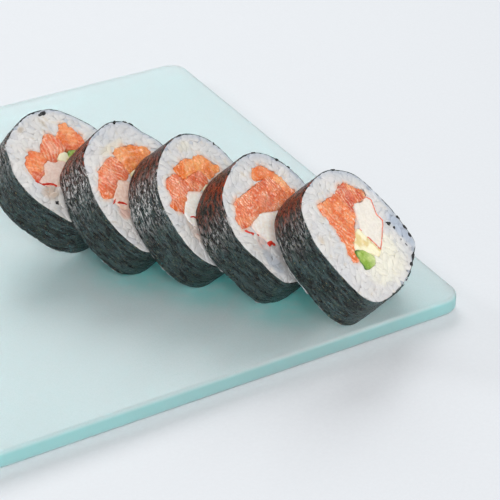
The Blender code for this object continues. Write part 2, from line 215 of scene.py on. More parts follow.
# ---------------------------------------------------------------- meshes
def make(name, points, faces, cut=None, colours=None, extra=None, material=None, smooth_angle=None):
    """Object from points in millimetres (a slice's own, where cut is given)."""
    pts = cut.world(points) if cut else points
    mesh = bpy.data.meshes.new(name)
    mesh.from_pydata((np.asarray(pts) * MM).tolist(), [], faces)
    mesh.validate()
    mesh.update()
    bm = bmesh.new()
    bm.from_mesh(mesh)
    bmesh.ops.recalc_face_normals(bm, faces=bm.faces)
    bm.to_mesh(mesh)
    bm.free()
    if colours is not None:
        layer = mesh.color_attributes.new("tint", "FLOAT_COLOR", "POINT")
        rgba = np.ones((len(mesh.vertices), 4), np.float32)
        rgba[:, :3] = np.clip(colours, 0, 1)
        layer.data.foreach_set("color", rgba.ravel())
    for key, values in (extra or {}).items():
        values = np.asarray(values, np.float32)
        kind = "FLOAT_VECTOR" if values.ndim == 2 else "FLOAT"
        layer = mesh.attributes.new(key, kind, "POINT")
        layer.data.foreach_set("vector" if values.ndim == 2 else "value", values.ravel())
    mesh.shade_smooth()
    if smooth_angle:
        mesh.set_sharp_from_angle(angle=math.radians(smooth_angle))
    obj = bpy.data.objects.new(name, mesh)
    bpy.context.scene.collection.objects.link(obj)
    if material:
        mesh.materials.append(material)
    return obj


def own(obj, slot, *nodes):
    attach(obj, "root")
    if nodes:
        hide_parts(*nodes)
    return obj


def cap_loops(node, cut):
    """Outlines of a CAD node's front cap, in the slice's own millimetres, largest first."""
    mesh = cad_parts[node].data
    mesh.calc_loop_triangles()
    tri = np.empty(len(mesh.loop_triangles) * 3, np.int32)
    mesh.loop_triangles.foreach_get("vertices", tri)
    tri = tri.reshape(-1, 3)
    pts = cut.local(Cut.world_points(node))
    flat = np.abs(pts[:, 2]) < 0.03
    tri = tri[flat[tri].all(1)]
    keys = [tuple(k) for k in np.round(pts[:, :2] / 0.01).astype(int)]
    first = {}
    same = [first.setdefault(k, i) for i, k in enumerate(keys)]
    edges = {}
    for t in tri:
        a, b, c = (same[i] for i in t)
        if len({a, b, c}) < 3:
            continue
        pa, pb, pc = pts[a], pts[b], pts[c]
        turn = (pb[0] - pa[0]) * (pc[1] - pa[1]) - (pb[1] - pa[1]) * (pc[0] - pa[0])
        if turn < 0:
            b, c = c, b
        for e in ((a, b), (b, c), (c, a)):
            edges[e] = edges.get(e, 0) + 1
    rim = {a: b for a, b in edges if (b, a) not in edges}
    loops = []
    while rim:
        start, here = rim.popitem()
        loop = [start]
        while here != start and here in rim:
            loop.append(here)
            here = rim.pop(here)
        if len(loop) > 3:
            loops.append(pts[loop][:, :2])
    loops.sort(key=lambda l: -abs(area(l)))
    return loops


def area(loop):
    x, y = loop[:, 0], loop[:, 1]
    return 0.5 * float(np.sum(x * np.roll(y, -1) - np.roll(x, -1) * y))


def evenly(loop, spacing):
    """The same closed outline with points an equal way apart, turning left."""
    loop = np.asarray(loop, float)
    if area(loop) < 0:
        loop = loop[::-1]
    closed = np.vstack([loop, loop[:1]])
    step = np.hypot(*np.diff(closed, axis=0).T)
    s = np.concatenate([[0], np.cumsum(step)])
    count = max(12, int(round(s[-1] / spacing)))
    want = np.linspace(0, s[-1], count, endpoint=False)
    return np.stack([np.interp(want, s, closed[:, k]) for k in (0, 1)], 1)


def soften(loop, times):
    for _ in range(times):
        loop = loop * 0.5 + 0.25 * (np.roll(loop, 1, 0) + np.roll(loop, -1, 0))
    return loop


def normals_2d(loop):
    along = np.roll(loop, -1, 0) - np.roll(loop, 1, 0)
    along /= np.maximum(np.hypot(*along.T), 1e-9)[:, None]
    return np.stack([along[:, 1], -along[:, 0]], 1)


def gap_to(points, loop):
    """Distance of points to a closed outline, its nearest point, and whether each is inside."""
    a = loop
    b = np.roll(loop, -1, 0)
    d = b - a
    dd = np.maximum((d * d).sum(1), 1e-12)
    out = np.empty(len(points))
    near = np.empty((len(points), 2))
    inside = np.zeros(len(points), bool)
    for i in range(0, len(points), 4000):
        p = points[i : i + 4000]
        w = p[:, None, :] - a[None]
        t = np.clip((w * d[None]).sum(2) / dd[None], 0, 1)
        q = a[None] + t[..., None] * d[None]
        dist = np.hypot(*(p[:, None, :] - q).transpose(2, 0, 1))
        k = dist.argmin(1)
        out[i : i + 4000] = dist[np.arange(len(p)), k]
        near[i : i + 4000] = q[np.arange(len(p)), k]
        up = (a[None, :, 1] > p[:, None, 1]) != (b[None, :, 1] > p[:, None, 1])
        den = np.where(np.abs(d[:, 1]) < 1e-12, 1e-12, d[:, 1])
        x = a[None, :, 0] + (p[:, None, 1] - a[None, :, 1]) / den[None] * d[None, :, 0]
        inside[i : i + 4000] = ((up & (p[:, None, 0] < x)).sum(1) % 2) == 1
    return out, near, inside


def hex_points(loop, spacing, margin, rng, jitter=0.18):
    lo, hi = loop.min(0), loop.max(0)
    rows = np.arange(lo[1], hi[1] + spacing, spacing * 0.866)
    pts = []
    for k, y in enumerate(rows):
        xs = np.arange(lo[0] + (k % 2) * spacing / 2, hi[0] + spacing, spacing)
        pts.append(np.stack([xs, np.full(len(xs), y)], 1))
    pts = np.vstack(pts)
    pts = pts + rng.uniform(-jitter, jitter, pts.shape) * spacing
    dist, _, inside = gap_to(pts, loop)
    return pts[inside & (dist > margin)]


def slab(outline, spacing, walls, rng):
    """A filled outline with a front, a back and a wall: 2D points, faces by index, and which
    vertices belong to the front, the wall's rings and the back."""
    count = len(outline)
    inner = hex_points(outline, spacing, spacing * 0.55, rng)
    flat = np.vstack([outline, inner])
    rim = [(i, (i + 1) % count) for i in range(count)]
    verts, _, faces, orig, _, _ = delaunay_2d_cdt(
        [Vector(p) for p in flat], rim, [], 1, 1e-5
    )
    if len(verts) != len(flat):
        flat = np.array([tuple(v) for v in verts])
        lookup = {}
        for new, olds in enumerate(orig):
            for o in olds:
                lookup[o] = new
        ring = [lookup[i] for i in range(count)]
    else:
        ring = list(range(count))
        flat = np.array([tuple(v) for v in verts])
    n = len(flat)
    points = [flat]
    down = [np.zeros(n)]
    front = [tuple(f) for f in faces]
    rows = [ring]
    base = n
    for k in range(1, walls):
        points.append(flat[ring])
        down.append(np.full(count, k / walls))
        rows.append(list(range(base, base + count)))
        base += count
    points.append(flat)
    down.append(np.ones(n))
    rows.append([base + i for i in ring])
    back = [tuple(base + i for i in reversed(f)) for f in front]
    wall = []
    for a, b in zip(rows, rows[1:]):
        for i in range(count):
            j = (i + 1) % count
            wall.append((a[i], b[i], b[j], a[j]))
    return np.vstack(points), np.concatenate(down), front + wall + back


# ---------------------------------------------------------------- materials
class Look:
    """Short way to write a node material."""

    def __init__(self, name):
        self.material = bpy.data.materials.new(name)
        self.material.use_nodes = True
        self.tree = self.material.node_tree
        self.shader = self.tree.nodes["Principled BSDF"]

    def node(self, kind, **values):
        made = self.tree.nodes.new(kind)
        for key, value in values.items():
            if hasattr(made, key) and key not in made.inputs:
                setattr(made, key, value)
            else:
                self.set(made, key, value)
        return made

    def set(self, node, key, value):
        socket = node.inputs[key]
        if isinstance(value, bpy.types.NodeSocket):
            self.tree.links.new(value, socket)
        else:
            socket.default_value = value
        return node

    def into(self, **values):
        for key, value in values.items():
            self.set(self.shader, key.replace("_", " "), value)

    def attribute(self, name, output="Color"):
        return self.node("ShaderNodeAttribute", attribute_name=name).outputs[output]

    def coords(self):
        return self.node("ShaderNodeTexCoord").outputs["Object"]

    def stretch(self, vector, scale):
        made = self.node("ShaderNodeMapping")
        self.set(made, "Vector", vector)
        self.set(made, "Scale", scale)
        return made.outputs["Vector"]

    def noise(self, vector, scale, detail=3.0, roughness=0.55, distortion=0.0):
        made = self.node("ShaderNodeTexNoise")
        for key, value in (
            ("Vector", vector), ("Scale", scale), ("Detail", detail),
            ("Roughness", roughness), ("Distortion", distortion),
        ):
            self.set(made, key, value)
        return made.outputs["Fac"]

    def cells(self, vector, scale, feature="F1", randomness=1.0):
        made = self.node("ShaderNodeTexVoronoi")
        made.feature = feature
        self.set(made, "Vector", vector)
        self.set(made, "Scale", scale)
        self.set(made, "Randomness", randomness)
        return made.outputs["Distance"]

    def span(self, value, a, b, to_a=0.0, to_b=1.0):
        made = self.node("ShaderNodeMapRange")
        made.interpolation_type = "SMOOTHSTEP"
        for key, v in (
            ("Value", value), ("From Min", a), ("From Max", b), ("To Min", to_a), ("To Max", to_b),
        ):
            self.set(made, key, v)
        return made.outputs["Result"]

    def maths(self, operation, a, b=None):
        made = self.node("ShaderNodeMath", operation=operation)
        for i, v in enumerate((a, b)):
            if v is None:
                continue
            if isinstance(v, bpy.types.NodeSocket):
                self.tree.links.new(v, made.inputs[i])
            else:
                made.inputs[i].default_value = v
        return made.outputs["Value"]

    def mix(self, fac, a, b, blend="MIX"):
        made = self.node("ShaderNodeMix", data_type="RGBA", blend_type=blend)
        for i, v in ((0, fac), (6, a), (7, b)):
            if isinstance(v, bpy.types.NodeSocket):
                self.tree.links.new(v, made.inputs[i])
            elif i == 0:
                made.inputs[i].default_value = v
            else:
                made.inputs[i].default_value = (*v, 1.0)
        return made.outputs[2]

    def bump(self, height, distance, strength=1.0, below=None):
        made = self.node("ShaderNodeBump")
        self.set(made, "Height", height)
        self.set(made, "Distance", distance)
        self.set(made, "Strength", strength)
        if below is not None:
            self.set(made, "Normal", below)
        return made.outputs["Normal"]


def rice_look():
    look = Look("cooked_rice")
    at = look.coords()
    cloud = look.noise(at, 420.0, 3.0)
    fine = look.noise(at, 1900.0, 2.0)
    tint = look.attribute("tint")
    milky = look.mix(look.span(cloud, 0.35, 0.65), (0.94, 0.945, 0.955), (1.0, 1.0, 1.0))
    look.into(
        **{
            "Base_Color": look.mix(1.0, tint, milky, "MULTIPLY"),
            "Roughness": look.span(fine, 0.3, 0.7, 0.34, 0.48),
            "Normal": look.bump(fine, 0.00012, 0.3, look.bump(cloud, 0.0005, 0.2)),
        }
    )
    s = look.shader.inputs
    s["Subsurface Weight"].default_value = 0.15
    s["Subsurface Radius"].default_value = (1.0, 0.92, 0.85)
    s["Subsurface Scale"].default_value = 0.0004
    s["IOR"].default_value = 1.42
    return look.material


def fish_look():
    look = Look("raw_salmon")
    at = look.coords()
    fine = look.noise(at, 1500.0, 4.0, 0.6)
    broad = look.noise(at, 330.0, 2.0)
    tint = look.attribute("tint")
    deep = look.mix(look.span(broad, 0.35, 0.68), (0.98, 0.88, 0.80), (1.0, 1.05, 1.08))
    look.into(
        **{
            "Base_Color": look.mix(1.0, tint, deep, "MULTIPLY"),
            "Roughness": look.span(fine, 0.3, 0.7, 0.2, 0.42),
            "Normal": look.bump(fine, 0.0006, 0.8),
        }
    )
    s = look.shader.inputs
    s["Coat Weight"].default_value = 0.7
    s["Coat Roughness"].default_value = 0.10
    s["Subsurface Weight"].default_value = 0.35
    s["Subsurface Radius"].default_value = (1.0, 0.35, 0.18)
    s["Subsurface Scale"].default_value = 0.0014
    s["IOR"].default_value = 1.45
    return look.material


def stick_look(name, roughness, weight, scale, bump):
    look = Look(name)
    at = look.coords()
    fine = look.noise(at, 1300.0, 3.0, 0.6)
    tint = look.attribute("tint")
    look.into(
        **{
            "Base_Color": look.mix(1.0, tint, look.mix(look.span(fine, 0.3, 0.7), (0.95, 0.95, 0.95), (1.0, 1.0, 1.0)), "MULTIPLY"),
            "Roughness": look.span(fine, 0.3, 0.7, roughness - 0.06, roughness + 0.1),
            "Normal": look.bump(fine, 0.0003, bump),
        }
    )
    s = look.shader.inputs
    s["Subsurface Weight"].default_value = weight
    s["Subsurface Radius"].default_value = (1.0, 0.8, 0.55)
    s["Subsurface Scale"].default_value = scale
    s["IOR"].default_value = 1.42
    return look.material


def nori_look():
    look = Look("seaweed_sheet")
    band = look.attribute("band", "Vector")
    fibre = look.noise(look.stretch(band, (0.16, 0.50, 1.0)), 1.0, 4.0, 0.62, 1.0)
    thread = look.noise(look.stretch(band, (0.42, 1.15, 1.0)), 1.0, 3.0, 0.62, 0.9)
    mottle = look.noise(look.stretch(band, (0.3, 0.5, 1.0)), 1.0, 3.0, 0.55, 0.6)
    speck = look.noise(look.stretch(band, (1.3, 2.2, 1.0)), 1.0, 1.0, 0.5)
    warm = look.attribute("warm", "Fac")
    painted_glint = look.attribute("painted_glint", "Fac")
    ink = look.attribute("ink", "Fac")
    crease = look.noise(look.stretch(band, (0.17, 0.62, 1.0)), 1.0, 3.0, 0.6, 1.3)
    line = look.span(look.maths("ABSOLUTE", look.maths("SUBTRACT", crease, 0.5)), 0.07, 0.015)
    base = look.mix(look.span(fibre, 0.40, 0.60), srgb(14, 16, 18), srgb(70, 90, 92))
    green = look.maths("MULTIPLY", look.span(mottle, 0.44, 0.62), 0.6)
    base = look.mix(green, base, srgb(56, 78, 72))
    # Near-black where the thread noise is low, which the bump makes the hollows: painted crease shade, partly the
    # sheet's own dark.
    base = look.mix(look.span(thread, 0.44, 0.34), base, srgb(6, 7, 8))
    # The reddish part: partly the seaweed's own brown, partly a painted reflection of the neighbouring slice's salmon.
    red = look.mix(look.span(thread, 0.44, 0.58), srgb(30, 10, 5), srgb(166, 62, 20))
    base = look.mix(look.maths("MULTIPLY", warm, look.span(fibre, 0.38, 0.54)), base, red)
    # Painted highlights: whitish glint lines on the crinkled part.
    shine = look.maths("MULTIPLY", line, look.span(thread, 0.42, 0.53))
    base = look.mix(look.maths("MULTIPLY", painted_glint, shine), base, srgb(238, 236, 236))
    base = look.mix(look.maths("MULTIPLY", look.span(speck, 0.66, 0.71), 0.75), base, srgb(160, 150, 108))
    base = look.mix(ink, base, srgb(8, 8, 10))
    rough = look.maths("ADD", look.span(thread, 0.3, 0.7, 0.20, 0.38), look.span(mottle, 0.3, 0.7, -0.04, 0.08))
    look.into(
        **{
            "Base_Color": base,
            "Roughness": rough,
            "Specular_IOR_Level": look.span(warm, 0.0, 1.0, 0.42, 0.12),
            "Normal": look.bump(thread, 0.0010, 1.0, look.bump(crease, 0.0030, 0.9)),
        }
    )
    s = look.shader.inputs
    s["IOR"].default_value = 1.5
    return look.material


PAINTED_SHADE_REACH = 4.0, 26.0  # painted shade: from this far to that far from a slice's foot the glass is painted teal, fully at the nearer distance


def glass_look(feet):
    """Frosted glass, with a painted teal shade round the slices' feet, standing in for the light that reaches the
    food's shadow through the glass.
    """
    look = Look("frosted_glass_plate")
    at = look.coords()
    grain = look.noise(at, 2600.0, 2.0, 0.6)
    cloud = look.noise(at, 38.0, 3.0)
    wall = look.attribute("wall", "Fac")
    base = look.mix(look.span(cloud, 0.3, 0.7), (0.95, 0.945, 0.965), (0.985, 0.965, 0.985))
    base = look.mix(look.span(grain, 0.35, 0.6), (0.90, 0.905, 0.915), base)
    near = None
    for foot in feet:
        way = look.node("ShaderNodeVectorMath", operation="DISTANCE")
        look.tree.links.new(at, way.inputs[0])
        way.inputs[1].default_value = foot
        close = look.span(way.outputs["Value"], PAINTED_SHADE_REACH[1] * MM, PAINTED_SHADE_REACH[0] * MM)
        near = close if near is None else look.maths("MAXIMUM", near, close)
    # Painted shade: near the feet the glass is mixed towards teal, in blotches.
    blotch = look.noise(at, 210.0, 3.0, 0.6)
    near = look.maths("MULTIPLY", near, look.span(blotch, 0.25, 0.6, 0.55, 1.0))
    base = look.mix(near, base, (0.48, 0.98, 0.965))
    look.into(
        **{
            "Base_Color": look.mix(wall, base, (0.58, 0.84, 0.845)),
            "Roughness": look.span(grain, 0.3, 0.7, 0.36, 0.50),
            "Normal": look.bump(grain, 0.00008, 0.5),
        }
    )
    s = look.shader.inputs
    s["Transmission Weight"].default_value = 0.6
    s["IOR"].default_value = 1.46
    s["Specular IOR Level"].default_value = 1.0
    absorb = look.node("ShaderNodeVolumeAbsorption")
    absorb.inputs["Color"].default_value = (0.25, 0.93, 0.92, 1.0)
    absorb.inputs["Density"].default_value = 80.0
    out = look.tree.nodes["Material Output"]
    look.tree.links.new(absorb.outputs["Volume"], out.inputs["Volume"])
    return look.material


def table_look():
    look = Look("pale_table")
    at = look.coords()
    fine = look.noise(at, 900.0, 3.0)
    look.into(
        **{
            "Base_Color": look.mix(look.span(fine, 0.3, 0.7), (0.65, 0.67, 0.70), (0.67, 0.69, 0.72)),
            "Roughness": look.span(fine, 0.3, 0.7, 0.55, 0.7),
            "Normal": look.bump(fine, 0.0002, 0.25),
        }
    )
    return look.material


RICE = rice_look()
FISH = fish_look()
STICK = stick_look("crab_stick", 0.38, 0.3, 0.0012, 0.25)
CHEESE = stick_look("cream_cheese", 0.36, 0.35, 0.0014, 0.18)
GREEN = stick_look("cucumber_flesh", 0.22, 0.4, 0.0015, 0.3)
SEAWEED = nori_look()


# ---------------------------------------------------------------- fillings
DEEP = srgb(196, 56, 22)
AMBER = srgb(232, 116, 18)
LIGHT = srgb(252, 178, 118)
PINK = srgb(252, 186, 160)

# patches of another tone in the fish: x, y, radius, colour, strength
PATCHES = {
    "salmon_1a": ((-14.2, 4.2, 2.0, DEEP, 0.7), (-7.0, 11.2, 2.0, AMBER, 0.35)),
    "salmon_1b": ((0.6, 9.4, 2.6, PINK, 0.6), (-3.4, 5.2, 1.5, DEEP, 0.5), (3.4, 12.8, 1.6, AMBER, 0.5)),
    "salmon_1c": ((6.6, 9.8, 1.8, AMBER, 0.9), (12.0, 11.0, 3.0, LIGHT, 0.6), (6.4, 6.4, 1.4, DEEP, 0.4)),
    "salmon_2a": ((-7.4, 7.6, 2.8, PINK, 0.5), (-15.2, 4.0, 2.0, AMBER, 0.5), (-1.0, 5.4, 2.0, DEEP, 0.4)),
    "salmon_2b": ((4.0, 12.4, 3.6, LIGHT, 0.7), (8.4, 8.2, 2.6, AMBER, 0.55), (13.0, 8.0, 2.0, LIGHT, 0.5)),
    "salmon_3a": ((-15.4, 4.8, 1.8, AMBER, 0.8), (-4.6, 11.4, 1.4, DEEP, 0.6), (-8.0, 9.0, 2.8, PINK, 0.4), (3.2, 8.0, 1.8, PINK, 0.5)),
    "salmon_3b": ((-3.4, 12.4, 2.1, AMBER, 1.0), (1.6, 12.4, 2.0, LIGHT, 0.8), (7.6, 11.0, 2.8, LIGHT, 0.7), (8.0, 6.2, 2.2, AMBER, 0.6)),
    "salmon_4a": ((8.6, 3.8, 3.0, AMBER, 0.7), (5.2, 11.4, 1.6, DEEP, 0.6), (-15.4, 4.4, 1.6, DEEP, 0.7), (0.5, 6.6, 2.6, PINK, 0.5)),
    "salmon_4b": ((5.6, 14.6, 2.4, AMBER, 0.6), (12.6, 8.6, 3.2, LIGHT, 0.8)),
    "salmon_5a": ((5.8, 6.8, 2.0, DEEP, 0.9), (-10.2, -3.8, 2.6, AMBER, 0.6), (-4.6, 13.4, 3.0, LIGHT, 0.5)),
    "salmon_5b": ((6.6, 8.2, 1.8, DEEP, 0.7), (16.6, 7.0, 2.6, LIGHT, 0.9), (13.2, 12.2, 2.2, LIGHT, 0.6), (8.6, 11.0, 2.2, PINK, 0.35)),
}


def fish_lines(name, x, y, z, seed):
    """Strength of the pale fat lines here."""
    turn, gap, fat, tone = FISH_TABLE[name]
    a = math.radians(turn)
    u = x * math.cos(a) + y * math.sin(a)
    v = -x * math.sin(a) + y * math.cos(a)
    wave = u + 1.3 * fbm(x / 4.5, y / 4.5, z / 7.0, 2, seed) + 0.25 * fbm(x / 1.3, y / 1.3, z / 7.0, 2, seed + 1)
    phase = np.abs((wave / gap) % 1.0 - 0.5) * 2
    broken = smooth(-0.3, 0.35, fbm(u / 2.4, v / 4.0, z / 4, 2, seed + 5))
    return smooth(0.5, 1.0, phase) * (0.15 + 0.85 * broken)


def fish_tint(name, x, y, z, dist, seed):
    """Colour of raw salmon: flakes with pale fat lines between them."""
    turn, gap, fat, tone = FISH_TABLE[name]
    base = {"orange": srgb(246, 146, 84), "red": srgb(234, 128, 80), "pink": srgb(246, 148, 98), "amber": srgb(246, 156, 78)}[tone]
    deep = {"orange": srgb(234, 112, 50), "red": srgb(210, 82, 40), "pink": srgb(230, 106, 54), "amber": srgb(234, 122, 38)}[tone]
    m = smooth(-0.4, 0.45, fbm(x / 2.2, y / 2.2, z / 5, 3, seed + 2))
    col = lerp(flat_colour(deep, x), base, m)
    # Paler near the outline: painted light that offsets the shade at the fish's rounded edge.
    col = lerp(col, srgb(252, 186, 140), 0.5 * np.clip(1 - dist / 0.7, 0, 1) * smooth(-0.3, 0.4, fbm(x / 1.1, y / 1.1, 0.8, 2, seed + 7)))
    for px, py, radius, colour, strength in PATCHES[name]:
        off = ((x - px) ** 2 + (y - py) ** 2) / radius**2
        col = lerp(col, colour, strength * smooth(1.5, 0.35, off + 0.5 * fbm(x / 1.3, y / 1.3, 0.2, 2, seed + 6)))
    lines = fish_lines(name, x, y, z, seed)
    col = lerp(col, deep * 0.9, 0.35 * fat * smooth(0.35, 0.0, lines))
    col = lerp(col, srgb(255, 208, 180), lines * fat)
    # Painted glints: whitish specks that stand in for the wet shine.
    glint = smooth(0.24, 0.5, fbm(x / 0.7, y / 0.7, z / 2, 2, seed + 9))
    col = lerp(col, srgb(255, 226, 206), 0.55 * glint * fat)
    return lerp(col, deep * 0.8, 0.45 * smooth(0.2, 0.55, fbm(x / 2.6, y / 2.6, z / 3, 2, seed + 12)))


# turn of the fat lines, millimetres between them, their strength, and the flesh's tone
FISH_TABLE = {
    "salmon_1a": (35, 1.9, 0.40, "orange"),
    "salmon_1b": (-20, 1.5, 0.70, "pink"),
    "salmon_1c": (60, 2.2, 0.30, "orange"),
    "salmon_2a": (20, 1.3, 0.75, "pink"),
    "salmon_2b": (75, 2.4, 0.45, "amber"),
    "salmon_3a": (15, 1.05, 0.80, "pink"),
    "salmon_3b": (-30, 2.8, 0.25, "amber"),
    "salmon_4a": (8, 1.0, 0.85, "pink"),
    "salmon_4b": (30, 2.2, 0.30, "orange"),
    "salmon_5a": (18, 1.7, 0.60, "orange"),
    "salmon_5b": (-12, 1.1, 0.75, "red"),
}


def fish_relief(name, x, y, seed):
    lumps = fbm(x / 3.2, y / 3.2, 0.3, 2, seed + 3)
    rough = fbm(x / 0.8, y / 0.8, 0.6, 2, seed + 4)
    return 0.32 * lumps + 0.30 * rough + 0.10 * fish_lines(name, x, y, 0.0, seed)


def stick_tint(cut, x, y, z, dist, seed):
    """Crab stick: white threads, pinkish near its skin."""
    fibre = fbm(x / 0.6, y / 0.6, z / 9, 2, seed)
    # Per slice: slices 3 and 4 are painted lighter to offset the shade of the next slice's seaweed; slices 1 and 2 are
    # pinker and darker.
    low, high = {1: (srgb(232, 204, 190), srgb(244, 222, 210)), 2: (srgb(232, 198, 180), srgb(246, 222, 208))}.get(
        cut.number, (srgb(230, 223, 212), srgb(238, 232, 222)) if cut.number == 5 else (srgb(246, 238, 228), srgb(255, 252, 246))
    )
    col = lerp(flat_colour(low, x), high, smooth(-0.5, 0.5, fibre))
    blush = np.clip(1 - dist / 1.1, 0, 1) * smooth(-0.3, 0.4, fbm(x / 2.2, y / 2.2, z / 6, 2, seed + 4))
    return lerp(col, srgb(244, 168, 146), 0.45 * blush * (0.5 if cut.number == 5 else 1.0))


def filling(node, number):
    cut = CUTS[number]
    kind = node.rsplit("_", 1)[0]
    seed = sum(ord(c) * (k + 3) for k, c in enumerate(node))
    rng = np.random.default_rng(seed)
    grow, wobble, wave, round_, spacing, softness = {
        "salmon": (0.28, 0.85, 1.1, 0.30, 0.30, 2),
        "surimi": (0.20, 0.24, 1.3, 0.18, 0.36, 2),
        "cream_cheese": (0.28, 0.42, 1.3, 0.34, 0.34, 3),
        "cucumber": (0.20, 0.07, 2.2, 0.16, 0.34, 2),
    }[kind]
    loop = cap_loops(node, cut)[0]
    loop = soften(evenly(loop, 0.33), softness)
    ripple = fbm(loop[:, 0] / wave, loop[:, 1] / wave, 0.5, 2, seed)
    ripple = ripple + 0.5 * fbm(loop[:, 0] / wave / 3, loop[:, 1] / wave / 3, 1.5, 2, seed + 15)
    loop = loop + normals_2d(loop) * (grow + wobble * ripple)[:, None]
    loop = evenly(loop, 0.36)
    flat, down, faces = slab(loop, spacing, 9, rng)
    x, y = flat[:, 0], flat[:, 1]
    dist, _, _ = gap_to(flat, loop)
    depth = cut.depth(x, y)
    z = -down * depth
    face = np.where(down == 0, 1.0, np.where(down == 1, -1.0, 0.0))
    t = np.clip(1 - dist / round_, 0, 1)
    drop = round_ * (1 - np.sqrt(np.clip(1 - t * t, 0, 1)))
    if kind == "salmon":
        relief = fish_relief(node, x, y, seed) + 0.05
    elif kind == "surimi":
        relief = 0.05 * fbm(x / 0.7, y / 0.7, 0.1, 2, seed) + 0.12 * fbm(x / 4, y / 4, 0.2, 2, seed + 1)
    elif kind == "cream_cheese":
        relief = 0.35 * fbm(x / 2.6, y / 2.6, 0.3, 3, seed) + 0.15
    else:
        relief = 0.06 * fbm(x / 1.1, y / 1.1, 0.4, 2, seed)
    z = z + face * (relief - drop)
    inner = (face == 0)
    sway = fbm(x / 3, y / 3, z / 4, 2, seed + 8) * 0.1
    pts = np.stack([x, y, z], 1)
    near = normals_2d(loop)
    if kind == "salmon":
        colour = fish_tint(node, x, y, z, dist, seed)
        material = FISH
    elif kind == "surimi":
        colour = stick_tint(cut, x, y, z, dist, seed)
        material = STICK
    elif kind == "cream_cheese":
        n = smooth(-0.35, 0.15, fbm(x / 2.2, y / 2.2, z / 5, 3, seed))
        colour = lerp(flat_colour(srgb(226, 206, 148), x), srgb(246, 238, 206), n)
        material = CHEESE
    else:
        across = smooth(0.0, 1.5, dist)
        n = smooth(-0.5, 0.5, fbm(x / 1.4, y / 1.4, z / 6, 2, seed))
        colour = lerp(flat_colour(srgb(138, 172, 66), x), srgb(184, 204, 116), n)
        colour = lerp(colour, srgb(212, 222, 164), 0.8 * smooth(0.4, 1.0, (x - x.min()) / np.ptp(x) * 0.7 + 0.3 * (y.max() - y) / np.ptp(y)))
        skin = SKIN_SIDES[number](x, y) * np.clip(1.3 - dist / 0.9, 0, 1)
        colour = lerp(colour, srgb(64, 110, 26), np.clip(skin, 0, 1))
        material = GREEN
    obj = make(node + "_cut", pts, faces, cut, colour, material=material)
    own(obj, kind, node)
    return loop


SKIN_SIDES = {
    1: lambda x, y: smooth(3.0, 5.0, y) + 0 * x,
    2: lambda x, y: smooth(9.0, 10.5, x) + 0 * y,
    3: lambda x, y: smooth(9.0, 11.0, x) + 0 * y,
    4: lambda x, y: smooth(10.0, 12.0, x) + 0 * y,
    5: lambda x, y: smooth(-5.5, -8.5, x - 0.5 * (y + 6)),
}


# ---------------------------------------------------------------- rice
def grain_shape(around, along):
    """A plump short grain, one unit long, lying along x."""
    t = np.linspace(0, math.pi, along + 1)[1:-1]
    a = np.linspace(0, 2 * math.pi, around, endpoint=False)
    x = -0.5 * np.cos(t)
    r = 0.5 * np.sin(t) ** 0.82
    pts = [np.array([[-0.5, 0, 0]])]
    for xi, ri in zip(x, r):
        pts.append(np.stack([np.full(around, xi), ri * np.cos(a), ri * np.sin(a)], 1))
    pts.append(np.array([[0.5, 0, 0]]))
    faces = []
    for j in range(around):
        faces.append((0, 1 + (j + 1) % around, 1 + j))
    rows = along - 1
    for i in range(rows - 1):
        b = 1 + i * around
        for j in range(around):
            k = (j + 1) % around
            faces.append((b + j, b + k, b + around + k, b + around + j))
    b = 1 + (rows - 1) * around
    end = b + around
    for j in range(around):
        faces.append((b + j, b + (j + 1) % around, end))
    return np.vstack(pts), faces


def scatter(cut, loops, spacing, rng, back):
    """Evenly spread places in the rice, clear of the fillings and the rim."""
    size = cut.size
    span = max(size.wide, size.high) / 2
    tries = rng.uniform(-span, span, (9000, 2))
    angle = np.arctan2(tries[:, 1], tries[:, 0])
    rim = cut.rice_rim(angle, back)
    ok = np.hypot(*tries.T) < rim - 0.7
    tries = tries[ok]
    for loop in loops:
        dist, _, inside = gap_to(tries, loop)
        keep = ~inside & (dist > 0.55)
        tries = tries[keep]
    kept = []
    grid = {}
    for p in tries:
        key = (int(p[0] // spacing), int(p[1] // spacing))
        near = False
        for i in (-1, 0, 1):
            for j in (-1, 0, 1):
                for q in grid.get((key[0] + i, key[1] + j), ()):
                    if (p[0] - q[0]) ** 2 + (p[1] - q[1]) ** 2 < spacing * spacing:
                        near = True
                        break
                if near:
                    break
            if near:
                break
        if not near:
            grid.setdefault(key, []).append(p)
            kept.append(p)
    return np.array(kept)


# patches of another tone in the rice, mostly painted light: the bluish-grey and darker ones are painted shade, the
# pinkish ones beside the salmon a painted glow from the fish; x, y, radii, colour, strength
RICE_TONES_AND_PAINTED_LIGHT = {
    1: ((-14.4, -2.6, 3.4, 2.8, srgb(204, 180, 160), 0.8), (5.5, 18.0, 0.9, 2.6, srgb(188, 174, 154), 0.5), (-4.5, 20.4, 1.6, 1.0, srgb(178, 160, 136), 0.6)),
    2: ((-12.6, -4.6, 2.6, 2.6, srgb(222, 172, 152), 0.7), (3.0, 20.0, 1.3, 1.8, srgb(198, 202, 208), 0.7), (2.0, 15.4, 6.0, 1.8, srgb(226, 214, 190), 0.6)),
    3: ((-14.0, -5.5, 2.0, 5.0, srgb(214, 190, 174), 0.6), (6.0, 18.0, 2.4, 2.0, srgb(214, 210, 194), 0.6)),
    4: ((-14.6, -10.0, 2.4, 5.0, srgb(170, 180, 192), 0.7), (-13.5, -3.0, 1.6, 2.6, srgb(224, 190, 180), 0.6)),
    5: ((0.5, -11.5, 11.0, 8.0, srgb(236, 232, 216), 0.95), (18.4, -10.5, 3.2, 7.5, srgb(172, 184, 200), 0.85), (-17.5, 7.5, 1.4, 1.8, srgb(202, 184, 162), 0.5)),
}


